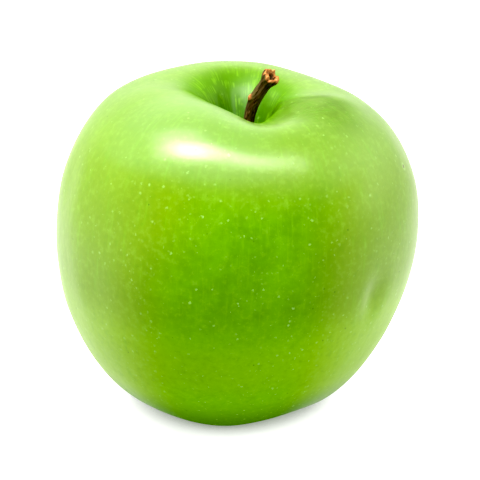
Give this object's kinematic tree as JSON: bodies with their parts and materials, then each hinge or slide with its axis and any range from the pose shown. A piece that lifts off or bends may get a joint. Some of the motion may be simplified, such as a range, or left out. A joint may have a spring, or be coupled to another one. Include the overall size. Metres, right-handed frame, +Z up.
{
  "type": "green apple",
  "caption": "Whole green dessert apple with a curved woody stalk in its cavity and a dried calyx underneath, standing on its crown.",
  "frame": {"origin": "on the surface the apple stands on, under the middle of its bounding box", "axes": "+Z up along the core from calyx to stalk, -Y towards the side with the pressed-in cavity rim, +X towards the side the stalk leans to"},
  "size_m": [0.0798, 0.0804, 0.0763],
  "materials": {
    "apple_skin": "waxy glossy green skin with pale lenticels, paler streaks along the meridians and a deeper green in the stem cavity",
    "stalk_wood": "matte dark brown to olive bark with tan flecks and a torn tan end",
    "dry_sepal": "dry, matte, green-brown felted sepals",
    "dry_stamen": "dry, matte, dark brown threads"
  },
  "bodies": {
    "root": {"fruit": "apple_skin", "stalk": "stalk_wood", "calyx": "dry_sepal", "stamens": "dry_stamen"}
  },
  "joints": []
}
